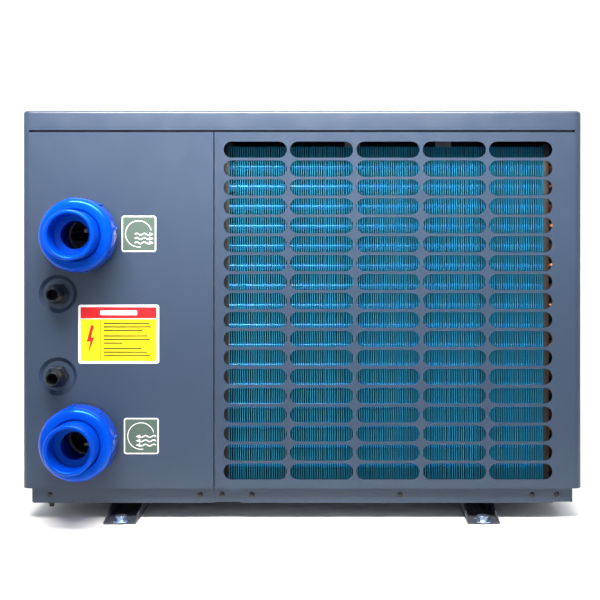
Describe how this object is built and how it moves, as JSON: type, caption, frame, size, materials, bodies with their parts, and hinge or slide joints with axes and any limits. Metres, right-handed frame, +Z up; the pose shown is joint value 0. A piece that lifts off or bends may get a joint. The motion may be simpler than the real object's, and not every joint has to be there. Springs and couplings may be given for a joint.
{
  "type": "pool heat pump unit",
  "caption": "Upright box-shaped air-source pool heater with a slotted rear guard over a finned coil, pipe unions at one side, a fan outlet at the front and two steel feet.",
  "frame": {"origin": "on the floor under the middle of the unit's bounding box", "axes": "+Z up; -Y is the rear face with the unions and the slotted guard; +Y is the fan outlet; +X runs from the service side to the coil side"},
  "size_m": [0.7, 0.361, 0.513],
  "materials": {
    "casing_paint": "satin",
    "foot_paint": "satin",
    "zinc_plate": "satin",
    "galvanised_sheet": "satin",
    "black_plastic": "matt",
    "black_steel": "gloss",
    "black_rubber": "matt",
    "blue_pvc": "gloss",
    "label_vinyl": "satin",
    "smoked_window": "gloss",
    "grey_plastic": "matt",
    "fin_aluminium": "satin",
    "copper_tube": "satin",
    "motor_aluminium": "satin",
    "steel_shaft": "polished",
    "white_pvc": "satin",
    "titanium_tube": "satin",
    "circuit_board": "satin"
  },
  "bodies": {
    "cabinet": {"base_tray": "casing_paint", "left_foot": "foot_paint", "right_foot": "foot_paint", "foot_bolts": "zinc_plate", "bonding_stud": "zinc_plate", "top_cover": "casing_paint", "service_panel": "casing_paint", "grille_panel": "casing_paint", "front_panel": "casing_paint", "fan_guard": "black_plastic", "bell_mouth": "black_plastic", "partition_panel": "galvanised_sheet", "left_handle": "black_plastic", "right_handle": "black_plastic", "casing_screws": "black_steel", "labels": "label_vinyl", "upper_union_body": "blue_pvc", "lower_union_body": "blue_pvc", "union_orings": "black_rubber", "upper_gland_body": "black_plastic", "lower_gland_body": "black_plastic", "gland_locknuts": "black_plastic", "controller_bezel": "black_plastic", "display_window": "smoked_window", "motor_bracket": "galvanised_sheet", "fan_motor": "motor_aluminium", "coil_fins": "fin_aluminium", "coil_tubes": "copper_tube", "coil_end_plates": "galvanised_sheet", "compressor": "black_steel", "compressor_grommets": "black_rubber", "compressor_bolts": "zinc_plate", "accumulator": "black_steel", "reversing_valve": "copper_tube", "discharge_pipe": "copper_tube", "suction_pipe": "copper_tube", "gas_pipe": "copper_tube", "vapour_pipe": "copper_tube", "liquid_pipe": "copper_tube", "exchanger_shell": "white_pvc", "exchanger_lid": "white_pvc", "exchanger_coil": "titanium_tube", "electrical_box": "galvanised_sheet", "main_board": "circuit_board"},
    "upper_tail": {"upper_union_tail": "blue_pvc"},
    "upper_nut": {"upper_union_nut": "blue_pvc"},
    "lower_tail": {"lower_union_tail": "blue_pvc"},
    "lower_nut": {"lower_union_nut": "blue_pvc"},
    "upper_seal": {"upper_gland_seal": "black_rubber"},
    "upper_cap": {"upper_gland_cap": "black_plastic"},
    "lower_seal": {"lower_gland_seal": "black_rubber"},
    "lower_cap": {"lower_gland_cap": "black_plastic"},
    "fan": {"motor_shaft": "steel_shaft", "fan_blade": "black_plastic", "fan_nut": "zinc_plate"},
    "power_key": {"power_button": "grey_plastic"},
    "mode_key": {"mode_button": "grey_plastic"},
    "up_key": {"up_button": "grey_plastic"},
    "down_key": {"down_button": "grey_plastic"}
  },
  "joints": [
    {"name": "fan_spin", "type": "hinge", "parent": "cabinet", "child": "fan", "pos_m": [0.124, 0, 0.255], "axis": [0, 1, 0], "continuous": true},
    {"name": "upper_union_draw", "type": "slide", "parent": "cabinet", "child": "upper_tail", "axis": [0, -1, 0], "range_m": [0, 0.016]},
    {"name": "upper_nut_turn", "type": "hinge", "parent": "upper_tail", "child": "upper_nut", "pos_m": [-0.274, -0.1335, 0.3575], "axis": [0, -1, 0], "range_deg": [0, 1440]},
    {"name": "lower_union_draw", "type": "slide", "parent": "cabinet", "child": "lower_tail", "axis": [0, -1, 0], "range_m": [0, 0.016]},
    {"name": "lower_nut_turn", "type": "hinge", "parent": "lower_tail", "child": "lower_nut", "pos_m": [-0.274, -0.1335, 0.1025], "axis": [0, -1, 0], "range_deg": [0, 1440]},
    {"name": "upper_gland_draw", "type": "slide", "parent": "cabinet", "child": "upper_seal", "axis": [0, -1, 0], "range_m": [0, 0.006]},
    {"name": "upper_cap_turn", "type": "hinge", "parent": "upper_seal", "child": "upper_cap", "pos_m": [-0.305, -0.1235, 0.284], "axis": [0, -1, 0], "range_deg": [0, 1440]},
    {"name": "lower_gland_draw", "type": "slide", "parent": "cabinet", "child": "lower_seal", "axis": [0, -1, 0], "range_m": [0, 0.006]},
    {"name": "lower_cap_turn", "type": "hinge", "parent": "lower_seal", "child": "lower_cap", "pos_m": [-0.305, -0.1235, 0.181], "axis": [0, -1, 0], "range_deg": [0, 1440]},
    {"name": "power_press", "type": "slide", "parent": "cabinet", "child": "power_key", "axis": [0, -1, 0], "range_m": [0, 0.0015], "stiffness_N_per_m": 300},
    {"name": "mode_press", "type": "slide", "parent": "cabinet", "child": "mode_key", "axis": [0, -1, 0], "range_m": [0, 0.0015], "stiffness_N_per_m": 300},
    {"name": "up_press", "type": "slide", "parent": "cabinet", "child": "up_key", "axis": [0, -1, 0], "range_m": [0, 0.0015], "stiffness_N_per_m": 300},
    {"name": "down_press", "type": "slide", "parent": "cabinet", "child": "down_key", "axis": [0, -1, 0], "range_m": [0, 0.0015], "stiffness_N_per_m": 300}
  ],
  "couplings": [
    {"joint": "upper_nut_turn", "follows": "upper_union_draw", "rad_per_m": 1570.8},
    {"joint": "lower_nut_turn", "follows": "lower_union_draw", "rad_per_m": 1570.8},
    {"joint": "upper_cap_turn", "follows": "upper_gland_draw", "rad_per_m": 4188.8},
    {"joint": "lower_cap_turn", "follows": "lower_gland_draw", "rad_per_m": 4188.8}
  ]
}
